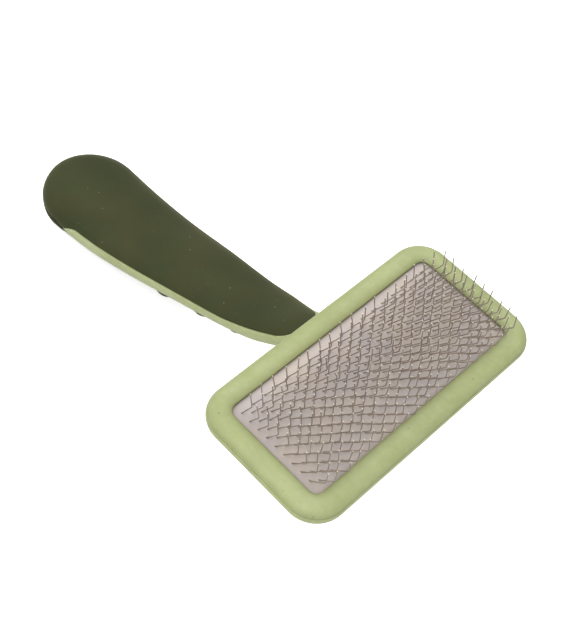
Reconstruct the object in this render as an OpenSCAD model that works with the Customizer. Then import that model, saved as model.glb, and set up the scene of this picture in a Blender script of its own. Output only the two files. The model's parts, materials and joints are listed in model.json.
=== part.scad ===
// Slicker brush for pet grooming: a rectangular head with a cushioned bed of
// bent wire pins, on a curved handle with soft grips.
//
// Frame: +Z is the way the pins stand, +X points away from the handle, +Y runs
// along the head's long side. The origin is the centre of the flat panel on
// the back of the head. Millimetres and degrees.

/* [Head] */
// Short side of the pad opening
opening_x = 42; // [40:0.5:44]
// Long side of the pad opening
opening_y = 97.2; // [94:0.4:101]
// Width of the ring around the opening
ring_w = 9; // [8.7:0.1:9.3]
// Height of the opening's lip above the back of the head
lip_z = 13; // [12.8:0.1:13.4]
// Corner radius of the opening
opening_r = 3.3; // [2.5:0.1:4]
// Thickness of the head's back panel
back_wall = 2.4; // [2:0.1:3]

/* [Pad] */
// Thickness of the rubber facing
facing_t = 1.2; // [0.8:0.1:1.4]
// Thickness of the woven backing
cloth_t = 1.3; // [0.9:0.1:1.5]
// Height of the pad's crown above its clamped edge
crown_h = 1.5; // [0.8:0.1:2]
// Depth of the pad's edge below the lip
pad_drop = 1.2; // [1:0.1:1.4]
// How far the pad reaches under the ring
pad_margin = 3.3; // [2.5:0.1:3.5]

/* [Pins] */
// Pins in one row, two to a staple
pins_per_row = 18; // [12:2:18]
// Distance between rows
row_pitch = 2.035; // [1.8:0.005:2.1]
// Distance between pins in a row
pin_pitch = 5.27; // [4.8:0.01:5.3]
// Wire diameter
wire_d = 0.45; // [0.35:0.05:0.6]
// Height of the knee above the pad
knee_h = 7.5; // [6:0.5:9]
// How far the knee leans away from the handle
knee_lean = 4.6; // [3:0.1:6]
// Height of the pin tip above the pad
tip_h = 13.5; // [11:0.5:16]
// How far the tip comes back from the knee
tip_back = 1.2; // [0:0.1:3]
// Splay of the outermost rows
splay_x = 7.5; // [0:0.5:10]
// Splay of the pins at the ends of the rows
splay_y = 4.5; // [0:0.5:8]
// Sideways tilt shared by every pin, towards +Y (degrees)
pin_skew = 7.3; // [0:0.1:9]

/* [Handle] */
// Where the round butt is centred, behind the middle of the head
butt_s = 157.2; // [150:0.2:165]
// Length of the rounded butt
butt_r = 21.8; // [18:0.2:24]
// Thickness of the soft grip skins
grip_t = 1.8; // [1.4:0.1:2]
// Angle of the face grip's edge above the widest line
edge_up = 16; // [10:1:22]
// Angle of the back grip's edge below the widest line
edge_down = 27; // [22:1:34]
// Height of the raised bars on the back grip
bar_h = 1.2; // [0.4:0.1:1.6]

/* [Hidden] */
green = "#b5be89";
dark = "#494e33";

half_x = opening_x / 2;
half_y = opening_y / 2;
outer_x = half_x + ring_w;      // half size of the head at its widest
outer_y = half_y + ring_w;
outer_r = opening_r + ring_w;
rim_z = lip_z - 2;              // where the ring sits on the shell's rim
edge_z = lip_z - pad_drop;      // top of the pad where it is clamped
foam_z = lip_z - 6.95;          // underside of the cushion

sheet_gap = 0.03;               // between the facing and the cloth
stack_t = facing_t + cloth_t;
wire_r = wire_d / 2;
flat_t = wire_r * 2.3;          // square section of the staple's bends and crown
crown_drop = stack_t + 0.14 + flat_t / 2;      // crown's middle below the pad's face
foam_drop = crown_drop + flat_t / 2 + 0.45;    // cushion's face below the pad's face

// ---- shared helpers ------------------------------------------------------

// Smooth step from 0 at start to 1 at end
function ease(start, end, x) =
    let (ratio = min(1, max(0, (x - start) / (end - start))))
    ratio * ratio * (3 - 2 * ratio);

// Power that keeps the sign of its base
function signed_pow(base, power) = sign(base) * pow(abs(base), power);

// Smooth curve through one column of a table whose first column rises
function segment(table, x, i = 0) =
    (i >= len(table) - 2 || x <= table[i + 1][0]) ? i : segment(table, x, i + 1);
function slope(table, column, i) =
    let (prev = table[max(0, i - 1)], next = table[min(len(table) - 1, i + 1)])
    (next[column] - prev[column]) / (next[0] - prev[0]);
function curve(table, column, x) =
    let (i = segment(table, x),
         span = table[i + 1][0] - table[i][0],
         ratio = (x - table[i][0]) / span,
         square = ratio * ratio,
         cube = square * ratio)
    (2 * cube - 3 * square + 1) * table[i][column]
    + (cube - 2 * square + ratio) * span * slope(table, column, i)
    + (3 * square - 2 * cube) * table[i + 1][column]
    + (cube - square) * span * slope(table, column, i + 1);

// Rising list without near duplicates
function sorted_unique(values, min_step = 0.3) =
    let (sorted = sort_list(values))
    [for (i = [0:len(sorted) - 1])
        if (i == 0 || sorted[i] - sorted[i - 1] > min_step) sorted[i]];
function sort_list(values) =
    len(values) < 2 ? values :
    let (pivot = values[floor(len(values) / 2)])
    concat(sort_list([for (x = values) if (x < pivot) x]),
           [for (x = values) if (x == pivot) x],
           sort_list([for (x = values) if (x > pivot) x]));

// Two triangles over four point numbers, split from the second to the third.
// Swapping those two turns the patch over.
function patch(first, second, third, fourth) =
    [[first, second, third], [third, second, fourth]];

// Closed solid through rings of equal length, flat at both ends
module loft(rings) {
    count = len(rings[0]);
    last = len(rings) - 1;
    polyhedron(
        points = [for (ring = rings) each ring],
        faces = concat(
            [[for (j = [0:count - 1]) j]],
            [[for (j = [count - 1:-1:0]) last * count + j]],
            [for (i = [0:last - 1], j = [0:count - 1])
                let (here = i * count + j, next = i * count + (j + 1) % count)
                each patch(here, here + count, next, next + count)]),
        convexity = 8);
}

// Same, for rings that turn the other way, with the last one closing on a point
module loft_to_point(rings, tip) {
    count = len(rings[0]);
    last = len(rings) - 1;
    polyhedron(
        points = concat([for (ring = rings) each ring], [tip]),
        faces = concat(
            [[for (j = [count - 1:-1:0]) j]],
            [for (j = [0:count - 1])
                [last * count + (j + 1) % count, (last + 1) * count, last * count + j]],
            [for (i = [0:last - 1], j = [0:count - 1])
                let (here = i * count + j, next = i * count + (j + 1) % count)
                each patch(here, next, here + count, next + count)]),
        convexity = 8);
}

// ---- head ----------------------------------------------------------------

// Outside of the shell, from the back panel up to the rim:
// [height, distance in from the widest outline]
shell_out = [[0, 15.5], [0.2, 13.5], [0.7, 11], [1.6, 8.3], [2.8, 5.9], [4.1, 4],
             [5.4, 2.5], [6.6, 1.4], [7.6, 0.7], [8.5, 0.28], [9.3, 0.06], [10, 0],
             [10.6, 0.12], [rim_z, 0.42]];
// Inside of the shell, from the rim down to the floor, same columns
shell_in = [[rim_z, 2.6], [7.8, 2.65], [7.2, 3.4], [foam_z - 0.1, 4.95], [4.9, 6.1],
            [3.5, 8.1], [back_wall, 10]];
min_outline_r = 3.5;
corner_steps = 7;

rib_t = 1.2;
rib_z = foam_z - 0.05;          // top of the ribs
rib_sink = 0.3;                 // overlap into the back panel
rib_top_in = 4.6;               // rib ends, in from the widest outline
rib_foot_in = 9.3;
cross_ribs_y = [-39, -26, -13, 13, 26, 39];

// Rounded rectangle of points from half sizes and a corner radius
function rounded(size_x, size_y, radius, z) =
    [for (q = [0:3], i = [0:corner_steps])
        let (angle = 90 * q + 90 * i / corner_steps,
             side_x = (q == 0 || q == 3) ? 1 : -1,
             side_y = q < 2 ? 1 : -1)
        [side_x * (size_x - radius) + radius * cos(angle),
         side_y * (size_y - radius) + radius * sin(angle), z]];

function outline(z, inset) =
    rounded(outer_x - inset, outer_y - inset, max(outer_r - inset, min_outline_r), z);

module shell_tray()
    loft([for (p = concat(shell_out, shell_in)) outline(p[0], p[1])]);

// Rib tapering to the floor, for a head of the given half size
module rib(half_size)
    linear_extrude(rib_t)
        polygon([[-half_size + rib_top_in, rib_z],
                 [half_size - rib_top_in, rib_z],
                 [half_size - rib_foot_in, back_wall - rib_sink],
                 [-half_size + rib_foot_in, back_wall - rib_sink]]);

// Ribs on the shell's floor that carry the cushion
module shell_ribs() {
    for (y = cross_ribs_y)
        translate([0, y + rib_t / 2, 0]) rotate([90, 0, 0]) rib(outer_x);
    translate([-rib_t / 2, 0, 0]) rotate([90, 0, 90]) rib(outer_y);
}

// Ring section, from the opening's edge outwards, down to the snap skirt:
// [distance out from the opening, height]
module ring_profile() {
    z = lip_z;
    skirt_in = 4.3;
    skirt_out = 6;
    skirt_z = 8;
    seat_z = rim_z + 0.05;
    polygon([[0.3, z - 0.95], [0, z - 0.7], [0, z - 0.4], [0.15, z - 0.15],
             [0.5, z + 0.05], [1.2, z + 0.3], [2.2, z + 0.52], [3.4, z + 0.62],
             [4.6, z + 0.55], [5.6, z + 0.3], [6.5, z - 0.1], [7.2, z - 0.6],
             [ring_w - 1, z - 1.2], [ring_w - 0.76, z - 1.6], [ring_w - 0.7, seat_z],
             [skirt_out, seat_z], [skirt_out, skirt_z], [skirt_in, skirt_z],
             [skirt_in, z - 0.95]]);
}

// A section swept round the opening
module sweep_round() {
    straight_x = 2 * (half_x - opening_r);
    straight_y = 2 * (half_y - opening_r);
    for (q = [0:3])
        translate([(q == 0 || q == 3 ? 1 : -1) * straight_x / 2,
                   (q < 2 ? 1 : -1) * straight_y / 2, 0])
            rotate([0, 0, 90 * q]) rotate_extrude(angle = 90, $fn = 96)
                translate([opening_r, 0]) children();
    for (m = [0, 1]) mirror([m, 0, 0])
        translate([straight_x / 2, straight_y / 2, 0])
            rotate([90, 0, 0]) linear_extrude(straight_y)
                translate([opening_r, 0]) children();
    for (m = [0, 1]) mirror([0, m, 0])
        translate([-straight_x / 2, straight_y / 2, 0])
            rotate([90, 0, 90]) linear_extrude(straight_x)
                translate([opening_r, 0]) children();
}

module bezel() color(green) sweep_round() ring_profile();

// ---- pad -----------------------------------------------------------------

// Height of the pad's face at x, y: clamped flat at the edge, crowned inside
function pad_z(x, y) =
    let (across = min(1, abs(x) / half_x), along = min(1, abs(y) / half_y))
    edge_z + crown_h * (1 - across * across) * (1 - pow(along, 3.2));

// Crowned sheet between two depths below the pad's face, or down to a flat floor
module crowned(top_depth, bottom_depth = undef, floor_z = undef) {
    size_x = half_x + pad_margin;
    size_y = half_y + pad_margin;
    radius = opening_r + pad_margin;
    cells = 14;
    corner_rows = [for (angle = [0:30:90]) size_y - radius * (1 - sin(angle))];
    inner_rows = [for (i = [-8:8]) (half_y - 0.5) * sign(i) * pow(abs(i) / 8, 0.8)];
    row_y = sorted_unique(concat(corner_rows, -corner_rows, inner_rows));
    last = len(row_y) - 1;
    half_width = [for (y = row_y)
        let (into_corner = max(0, abs(y) - (size_y - radius)))
        size_x - radius + sqrt(max(radius * radius - into_corner * into_corner, 0.02))];
    grid = [for (j = [0:last], i = [0:cells]) [half_width[j] * (2 * i / cells - 1), row_y[j]]];
    top = [for (p = grid) [p[0], p[1], pad_z(p[0], p[1]) - top_depth]];
    bottom = [for (p = grid)
        [p[0], p[1], is_undef(floor_z) ? pad_z(p[0], p[1]) - bottom_depth : floor_z]];
    under = len(grid);          // from a top point's number to the one below it
    row = cells + 1;            // from a point's number to the next row's
    function id(i, j) = j * row + i;
    // Wall below the top edge between two neighbouring points
    function wall(from, to) = patch(from, to, under + from, under + to);
    polyhedron(
        points = concat(top, bottom),
        faces = concat(
            [for (j = [0:last - 1], i = [0:cells - 1]) let (p = id(i, j))
                each patch(p, p + row, p + 1, p + row + 1)],
            [for (j = [0:last - 1], i = [0:cells - 1]) let (p = under + id(i, j))
                each patch(p, p + 1, p + row, p + row + 1)],
            [for (i = [0:cells - 1]) each wall(id(i, 0), id(i + 1, 0))],
            [for (i = [0:cells - 1]) let (p = id(i, last))
                each patch(p, under + p, p + 1, under + p + 1)],
            [for (j = [0:last - 1]) let (p = id(0, j))
                each patch(p, under + p, p + row, under + p + row)],
            [for (j = [0:last - 1]) each wall(id(cells, j), id(cells, j + 1))]),
        convexity = 4);
}

module facing_sheet() color("#a99d98") crowned(0, facing_t);
module cloth_backing() color("#cfc8b8") crowned(facing_t + sheet_gap, stack_t + sheet_gap);
module foam_cushion() color("#e8e4d4") crowned(foam_drop, floor_z = foam_z);

// ---- pins ----------------------------------------------------------------

rows = 18;                      // rows of pins across the pad
rows_x = -0.1;                  // middle of the rows
odd_shift = -0.9;               // shift of the odd and even rows along Y
even_shift = 1.7;
lean = knee_lean / knee_h;      // the lower leg's run for each unit of height

// Turns +Z to the direction between two points, starting at the first
module along(from, to) {
    run = to - from;
    translate(from) rotate([0, acos(run[2] / norm(run)), atan2(run[1], run[0])]) children();
}

// Straight piece of round wire, and the flattened bend at its end
module rod(from, to) along(from, to) cylinder(h = norm(to - from), r = wire_r, $fn = 24);
module bend(from, to) along(from, to) cube(flat_t, center = true);

// A point of a pin rooted at x, y, by its height above the pad's face and its
// distance ahead of the root
function pin_point(x, y, ahead, height) =
    let (tilt_x = splay_x * x / (rows * row_pitch / 2),
         tilt_y = pin_skew + splay_y * y / half_y)
    [x + ahead * cos(tilt_x) + height * sin(tilt_x),
     y + height * sin(tilt_y),
     pad_z(x, y) + height * cos(tilt_x) * cos(tilt_y) - ahead * sin(tilt_x)];

// Two pins and the crown that joins them behind the cloth
module staple(x, y) {
    function pair(ahead, height) =
        [for (k = [0, 1]) pin_point(x, y + k * pin_pitch, ahead, height)];
    foot = pair(-crown_drop * lean, -crown_drop);
    knee = pair(knee_lean, knee_h);
    tip = pair(knee_lean - tip_back, tip_h);
    for (k = [0, 1]) {
        rod(foot[k], knee[k]);
        bend(knee[k], tip[k]);
        rod(knee[k], tip[k]);
    }
    along(foot[0], foot[1])
        translate([-flat_t / 2, -flat_t / 2, -flat_t / 2])
            cube([flat_t, flat_t, norm(foot[1] - foot[0]) + flat_t]);
}

// Row i of the bed, counted from the handle side; alternate rows are staggered
module staple_row(i) color("#8a7f76")
    for (k = [0:pins_per_row / 2 - 1])
        staple((i - (rows + 1) / 2) * row_pitch + rows_x,
               -(pins_per_row - 1) / 2 * pin_pitch
               + (i % 2 == 1 ? odd_shift : even_shift) + 2 * k * pin_pitch);

// ---- handle --------------------------------------------------------------
// "dist" is the distance behind the head's middle, along -X. Angles run round
// a section: 0 at +Y, 90 on the face (+Z), 270 on the back.

// Sections of the handle: [dist, height of the widest line, half width,
// rise above the line, depth below it]
sections = [
    [15.5, 1.3, 9.5, 0.7, 0.7],
    [20, 2.2, 11, 1.4, 1.8],
    [25, 3.0, 12.4, 2.8, 4.2],
    [28, 2.4, 10.9, 3.0, 4.6],
    [30.5, 1.2, 10.3, 3.2, 5.0],
    [34, -1.8, 9.9, 4.7, 6.2],
    [38, -4.9, 10.4, 5.8, 6.9],
    [48, -10.5, 12.4, 6.0, 7.8],
    [62, -16.5, 13.7, 5.8, 8.6],
    [85, -24.3, 15.8, 6.5, 9.8],
    [112, -33.7, 17.9, 7.5, 11],
    [135, -39.8, 19.7, 8.6, 12],
    [157.2, -42.4, 20.8, 8.9, 12.9],
    [180, -43.2, 21.2, 9.0, 13.6]];

// Face grip's edge near the head: [dist, angle above that of edge_up]
face_edges = [[28, 64], [30, 60], [31.5, 53], [32.7, 41], [34, 27.5], [36, 17.5],
              [38, 12.3], [44, 10.3], [50, 7.8], [56, 4], [62, 0.3], [70, 0], [200, 0]];

// Raised bars across the back grip: [dist of the middle, half length]
bars = [[56.2, 2.6], [73.8, 3.6], [94, 4.2]];

// Where the moulding and the skins are sectioned, by dist
core_dists = [15.5, 18, 21, 24, 26.4, 28.6, 29, 31, 32.5, 34.5, 36.2, 38, 41, 43.8, 44.2,
              45.4, 47, 49, 51.5, 54, 56.2, 58.2, 63, 69, 76, 84, 93, 102, 111, 120, 129,
              137, 143, 145.6, 148.4, 149.4, 153, butt_s];
face_dists = [29.3, 31, 32.5, 34.5, 36.2, 38, 41, 44.2, 47, 51.5, 56.2, 63, 69, 76, 84, 93,
              102, 111, 120, 129, 137, 143, 145.6, 148.4, 149.6, 150.6, 153, butt_s];
back_dists = [44.5, 45.4, 47, 49, 51.5, 53.6, 54.2, 55.1, 56.2, 57.3, 58.2, 58.8, 61, 65,
              70.1, 71, 72.3, 73.8, 75.3, 76.6, 77.5, 81, 85, 89.7, 90.7, 92.3, 94, 95.7,
              97.3, 98.3, 102, 111, 120, 129, 137, 143, 145.6, 148.4, 149.6, 150.6, 153,
              butt_s];
// Sections over the rounded butt, as parts of the way to its tip
butt_steps = [0.1, 0.22, 0.36, 0.5, 0.64, 0.77, 0.88, 0.96];

face_recess = 28.9;     // dist where the recess for each skin begins
back_recess = 44;
bands_end = 149;        // dist where the side bands between the skins end
skins_meet = 150;       // dist beyond which the skins nearly touch
recess_t = grip_t + 0.2;        // skin and its clearance
surface_t = 0.001;      // keeps unrecessed points apart from the side bands'
skin_steps = 12;

// [dist, butt] of each section: butt is 0 up to the rounded butt, 1 at its tip
function with_butt(dists) =
    concat([for (dist = dists) [dist, 0]], [for (butt = butt_steps) [butt_s, butt]]);

// Point on the handle's skin at an angle, inset from it; lift raises the sides
// and the back
function handle_point(dist, butt, angle, inset, lift = 0) =
    let (at = min(dist, butt_s),
         behind = butt > 0 ? butt_s + (butt_r - inset) * sin(90 * butt) : dist,
         shrink = butt > 0 ? cos(90 * butt) : 1,
         shrink_z = pow(shrink, 0.7),
         width = (curve(sections, 2, at) - inset + lift) * shrink,
         rise = (curve(sections, 3, at) - inset) * shrink_z,
         depth = (curve(sections, 4, at) - inset + lift) * shrink_z,
         squareness = 0.91,
         up = sin(angle))
    [-behind,
     width * signed_pow(cos(angle), squareness),
     curve(sections, 1, behind) + (up > 0 ? rise : depth) * signed_pow(up, squareness)];

function tip_point(inset) =
    let (behind = butt_s + butt_r - inset) [-behind, 0, curve(sections, 1, behind)];

// Edge of the face grip above the widest line, and of the back grip below it
function face_edge(dist) =
    edge_up + (dist < 70 ? curve(face_edges, 1, dist)
                         : (3.5 - edge_up) * ease(138, bands_end, dist));
function back_edge(dist) =
    edge_down + (dist < 58 ? (80 - edge_down) * pow((58 - dist) / (58 - back_recess), 2)
                           : (2.5 - edge_down) * ease(140, bands_end, dist));

// Light moulding inside the grips: full size in the side bands, recessed
// under the skins
function core_ring(dist, butt) =
    let (face = face_edge(max(dist, face_recess)),
         back = back_edge(max(dist, back_recess)),
         face_inset = dist < face_recess ? surface_t : recess_t,
         back_inset = dist < back_recess ? surface_t : recess_t,
         band_inset = dist > bands_end ? recess_t : 0)
    [for (arc = [[-back, face, band_inset, 4],          // [from, to, inset, steps]
                 [face, 180 - face, face_inset, 10],
                 [180 - face, 180 + back, band_inset, 4],
                 [180 + back, 360 - back, back_inset, 10]],
          i = [0:arc[3]])
        handle_point(dist, butt, arc[0] + (arc[1] - arc[0]) * i / arc[3], arc[2])];

module handle_core()
    loft_to_point([for (p = with_butt(core_dists)) core_ring(p[0], p[1])],
                  tip_point(recess_t));

module shell_and_handle() color(green) {
    shell_tray();
    shell_ribs();
    handle_core();
}

// Height of the raised bars, fading towards the back grip's edges
function bar_lift(dist, angle) =
    let (across = ease(edge_down, edge_down + 7, min(angle - 180, 360 - angle)))
    bar_h * across * max([for (bar = bars)
        let (off = abs(dist - bar[0]) / bar[1]) off < 1 ? pow(cos(90 * off), 0.6) : 0]);

// Skin over part of the handle, closing on the butt's tip. It spans evenly
// about the middle angle, from edge(dist).
module skin(dists, middle, edge) {
    stops = with_butt(dists);
    row = skin_steps + 1;
    last = (len(stops) - 1) * row;      // first point of the last section
    under = len(stops) * row;           // from an outer point's number to the inner one's
    tip = 2 * under;
    function angle(dist, i) = edge(dist) + 2 * (middle - edge(dist)) * i / skin_steps;
    outer = [for (p = stops, i = [0:skin_steps])
        let (a = angle(p[0], i))
        handle_point(p[0], p[1], a, 0, a > 180 && p[1] == 0 ? bar_lift(p[0], a) : 0)];
    inner = [for (p = stops, i = [0:skin_steps])
        handle_point(p[0], p[1], angle(p[0], i), grip_t)];
    polyhedron(
        points = concat(outer, inner, [tip_point(0), tip_point(grip_t)]),
        faces = concat(
            // outer and inner surfaces
            [for (j = [0:row:last - row], i = [0:skin_steps - 1]) let (p = j + i)
                each patch(p, p + 1, p + row, p + row + 1)],
            [for (j = [0:row:last - row], i = [0:skin_steps - 1]) let (p = under + j + i)
                each patch(p, p + row, p + 1, p + row + 1)],
            [for (i = [0:skin_steps - 1]) let (p = last + i) [p + 1, tip, p]],
            [for (i = [0:skin_steps - 1]) let (p = under + last + i) [tip + 1, p + 1, p]],
            // the two long edges
            [for (p = [0:row:last - row])
                each patch(p, p + row, under + p, under + p + row)],
            [for (j = [0:row:last - row]) let (p = j + skin_steps)
                each patch(p, under + p, p + row, under + p + row)],
            patch(last, tip, under + last, tip + 1),
            let (p = last + skin_steps) patch(p, under + p, tip, tip + 1),
            // the end nearest the head
            [for (i = [0:skin_steps - 1]) each patch(i, under + i, i + 1, under + i + 1)]),
        convexity = 8);
}

// Angular clearance at the face grip's edges, wider where they turn in
function face_clearance(dist) = 0.8 + 2.1 * ease(42, 36, dist);

module grip_face() color(dark)
    skin(face_dists, 90, function(dist)
        dist > skins_meet ? 0.6 : face_edge(dist) + face_clearance(dist));
module grip_back() color(dark)
    skin(back_dists, 270, function(dist)
        dist > skins_meet ? 180.1 : 181 + back_edge(dist));

shell_and_handle();
bezel();
grip_face();
grip_back();
facing_sheet();
cloth_backing();
foam_cushion();
staple_row(1);  // staple_row_01
staple_row(2);  // staple_row_02
staple_row(3);  // staple_row_03
staple_row(4);  // staple_row_04
staple_row(5);  // staple_row_05
staple_row(6);  // staple_row_06
staple_row(7);  // staple_row_07
staple_row(8);  // staple_row_08
staple_row(9);  // staple_row_09
staple_row(10);  // staple_row_10
staple_row(11);  // staple_row_11
staple_row(12);  // staple_row_12
staple_row(13);  // staple_row_13
staple_row(14);  // staple_row_14
staple_row(15);  // staple_row_15
staple_row(16);  // staple_row_16
staple_row(17);  // staple_row_17
staple_row(18);  // staple_row_18
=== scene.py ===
"""Slicker brush: a cushioned bed of bent wire pins in a green head, on a rubber-skinned handle.

The head is centred on the origin with its pins pointing to +Z. The handle runs to -X and
dips to -Z; its face skin is on the +Z side and its back skin on the -Z side. Sizes are in
millimetres, and turn into metres where meshes are made. In materials they are metres.
"""
import json
import math
import bmesh
import bpy
import numpy as np
from mathutils import Matrix, Vector
from mathutils.bvhtree import BVHTree

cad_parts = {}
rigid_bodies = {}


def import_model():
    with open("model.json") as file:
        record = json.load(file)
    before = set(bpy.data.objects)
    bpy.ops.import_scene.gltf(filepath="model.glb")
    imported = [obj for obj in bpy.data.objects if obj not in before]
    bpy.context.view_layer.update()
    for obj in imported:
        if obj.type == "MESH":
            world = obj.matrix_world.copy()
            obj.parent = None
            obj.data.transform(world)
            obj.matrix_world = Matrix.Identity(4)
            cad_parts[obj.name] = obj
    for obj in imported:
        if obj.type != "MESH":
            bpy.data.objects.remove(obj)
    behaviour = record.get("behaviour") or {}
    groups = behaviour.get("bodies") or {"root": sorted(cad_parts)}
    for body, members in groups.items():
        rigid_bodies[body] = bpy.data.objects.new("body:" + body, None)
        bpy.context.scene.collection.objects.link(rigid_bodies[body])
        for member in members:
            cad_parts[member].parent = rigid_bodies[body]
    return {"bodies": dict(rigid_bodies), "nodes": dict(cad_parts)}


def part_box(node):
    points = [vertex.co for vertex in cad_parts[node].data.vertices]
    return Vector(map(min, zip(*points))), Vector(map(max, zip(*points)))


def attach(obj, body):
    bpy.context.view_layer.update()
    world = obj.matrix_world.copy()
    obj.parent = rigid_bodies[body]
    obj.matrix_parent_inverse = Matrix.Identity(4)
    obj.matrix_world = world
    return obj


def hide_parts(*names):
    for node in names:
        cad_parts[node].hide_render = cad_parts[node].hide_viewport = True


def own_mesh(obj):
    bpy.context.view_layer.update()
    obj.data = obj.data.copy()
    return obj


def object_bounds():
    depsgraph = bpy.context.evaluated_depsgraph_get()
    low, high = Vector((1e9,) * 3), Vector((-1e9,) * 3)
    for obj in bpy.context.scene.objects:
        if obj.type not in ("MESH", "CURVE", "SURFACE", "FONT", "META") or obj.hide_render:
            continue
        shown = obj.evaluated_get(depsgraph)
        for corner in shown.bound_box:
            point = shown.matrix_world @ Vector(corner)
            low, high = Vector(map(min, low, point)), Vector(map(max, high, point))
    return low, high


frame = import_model()
cad_lo, cad_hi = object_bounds()

keep = set(frame["nodes"].values()) | set(frame["bodies"].values())
for extra in list(bpy.data.objects):
    if extra not in keep:
        bpy.data.objects.remove(extra, do_unlink=True)

MM = 0.001
HEAD, BED = "handle_and_head", "pin_bed"


# ---- driving sizes ---------------------------------------------------------

def packed_box(node):
    low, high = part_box(node)
    return np.array(low) / MM, np.array(high) / MM


shell_lo, shell_hi = packed_box("shell_and_handle")
ring_hi = packed_box("bezel")[1]
facing_hi = packed_box("facing_sheet")[1]
foam_lo, foam_hi = packed_box("foam_cushion")

RING_W = 9.0
HEAD_X, HEAD_Y = shell_hi[0], shell_hi[1]            # half size of the head
OPEN_X, OPEN_Y = HEAD_X - RING_W, HEAD_Y - RING_W    # half size of the pad opening
OPEN_R = 3.3                                         # corner radius of the opening
HEAD_R = OPEN_R + RING_W
LIP_Z = ring_hi[2] - 0.62                            # the ring's lip
RIM_Z = LIP_Z - 2.0                                  # top of the shell's rim
EDGE_Z = LIP_Z - 1.2                                 # pad's face where it is clamped

MARGIN = facing_hi[0] - OPEN_X                       # reach of the pad under the ring
PAD_X, PAD_Y, PAD_R = OPEN_X + MARGIN, OPEN_Y + MARGIN, OPEN_R + MARGIN
CROWN = facing_hi[2] - EDGE_Z                        # rise of the pad's middle
FACING_T, CLOTH_T = 1.2, 1.3
FOAM_Z = foam_lo[2]
PLAY = 0.02                                          # clearance between stacked pieces

SKIN_T = 1.8                                         # grip skins
CORE_INSET = SKIN_T + 0.05                           # core's surface under the skins
BUTT_S = 157.2                                       # where the handle's rounded butt begins
SKIN_PAST_SHELL = 2.0
BUTT_R = -shell_lo[0] - BUTT_S + SKIN_PAST_SHELL
DESIGN_BUTT_R, BUTT_TOLERANCE = 21.8, 0.6
# The design's butt stands in for a packed shell of an unexpected length.
if abs(BUTT_R - DESIGN_BUTT_R) > BUTT_TOLERANCE:
    BUTT_R = DESIGN_BUTT_R


# ---- helpers ---------------------------------------------------------------

def srgb(*channels):
    """Linear colour from 0-255 sRGB channels."""
    linear = []
    for value in channels:
        value /= 255.0
        linear.append(value / 12.92 if value <= 0.04045 else ((value + 0.055) / 1.055) ** 2.4)
    return (*linear, 1.0)


def make_object(name, points, faces, mats, smooth_angle=38.0):
    """A mesh object from points in millimetres and faces (lists of indices)."""
    mesh = bpy.data.meshes.new(name)
    metres = (np.asarray(points, float) * MM).tolist()
    mesh.from_pydata(metres, [], [list(map(int, face)) for face in faces])
    mesh.validate(clean_customdata=False)
    obj = bpy.data.objects.new(name, mesh)
    bpy.context.scene.collection.objects.link(obj)
    finish_mesh(obj, mats, smooth_angle)
    return obj


def finish_mesh(obj, mats, smooth_angle):
    mesh = obj.data
    bm = bmesh.new()
    bm.from_mesh(mesh)
    bmesh.ops.recalc_face_normals(bm, faces=bm.faces)
    bm.to_mesh(mesh)
    bm.free()
    mesh.materials.clear()
    for mat in mats:
        mesh.materials.append(mat)
    mesh.polygons.foreach_set("use_smooth", [True] * len(mesh.polygons))
    mesh.set_sharp_from_angle(angle=math.radians(smooth_angle))
    mesh.update()


def register(obj, rides, node):
    """Attach the object to the body it moves with, and hide the part it stands in for."""
    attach(obj, rides)
    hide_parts(node)


def union(target, other):
    """Join other into target, and remove other."""
    join = target.modifiers.new("join", "BOOLEAN")
    join.operation, join.solver, join.object = "UNION", "EXACT", other
    graph = bpy.context.evaluated_depsgraph_get()
    joined = bpy.data.meshes.new_from_object(target.evaluated_get(graph), depsgraph=graph)
    target.modifiers.clear()
    old = target.data
    target.data = joined
    bpy.data.meshes.remove(old)
    bpy.data.objects.remove(other, do_unlink=True)


def grid_faces(rows, cols, base=0, wrap=False, flip=False):
    """Quads of a grid stored row by row; wrap closes each row on itself."""
    i, j = np.meshgrid(np.arange(rows - 1), np.arange(cols if wrap else cols - 1), indexing="ij")
    here, there = base + i * cols, base + (i + 1) * cols
    j2 = (j + 1) % cols
    quads = np.stack([here + j, here + j2, there + j2, there + j], -1).reshape(-1, 4)
    return quads[:, ::-1] if flip else quads


def catmull(points, per):
    """A smooth open line through the points, with per steps between each two."""
    def blend(start, end, t0, t1, t):
        return (t1 - t) / (t1 - t0) * start + (t - t0) / (t1 - t0) * end

    pts = np.asarray(points, float)
    pts = np.vstack([2 * pts[0] - pts[1], pts, 2 * pts[-1] - pts[-2]])
    line = []
    for k in range(1, len(pts) - 2):
        before, start, end, after = pts[k - 1:k + 3]
        t0 = 0.0
        t1 = t0 + np.linalg.norm(start - before) ** 0.5
        t2 = t1 + np.linalg.norm(end - start) ** 0.5
        t3 = t2 + np.linalg.norm(after - end) ** 0.5
        for i in range(per):
            t = t1 + (t2 - t1) * i / per
            first = blend(before, start, t0, t1, t)
            middle = blend(start, end, t1, t2, t)
            last = blend(end, after, t2, t3, t)
            line.append(blend(blend(first, middle, t0, t2, t),
                              blend(middle, last, t1, t3, t), t1, t2, t))
    line.append(pts[-2])
    return np.array(line)


def ease(start, end, x):
    """Smooth step from 0 at start to 1 at end."""
    t = np.clip((np.asarray(x, float) - start) / (end - start), 0, 1)
    return t * t * (3 - 2 * t)


def signed_power(value, power):
    return np.sign(value) * np.abs(value) ** power


def roll(dist, radius):
    """How far a surface drops at a distance from its edge, for an edge rounded to radius."""
    d = np.clip(np.asarray(dist, float), 0, radius)
    return radius - np.sqrt(np.maximum(radius * radius - (radius - d) ** 2, 0))


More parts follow.
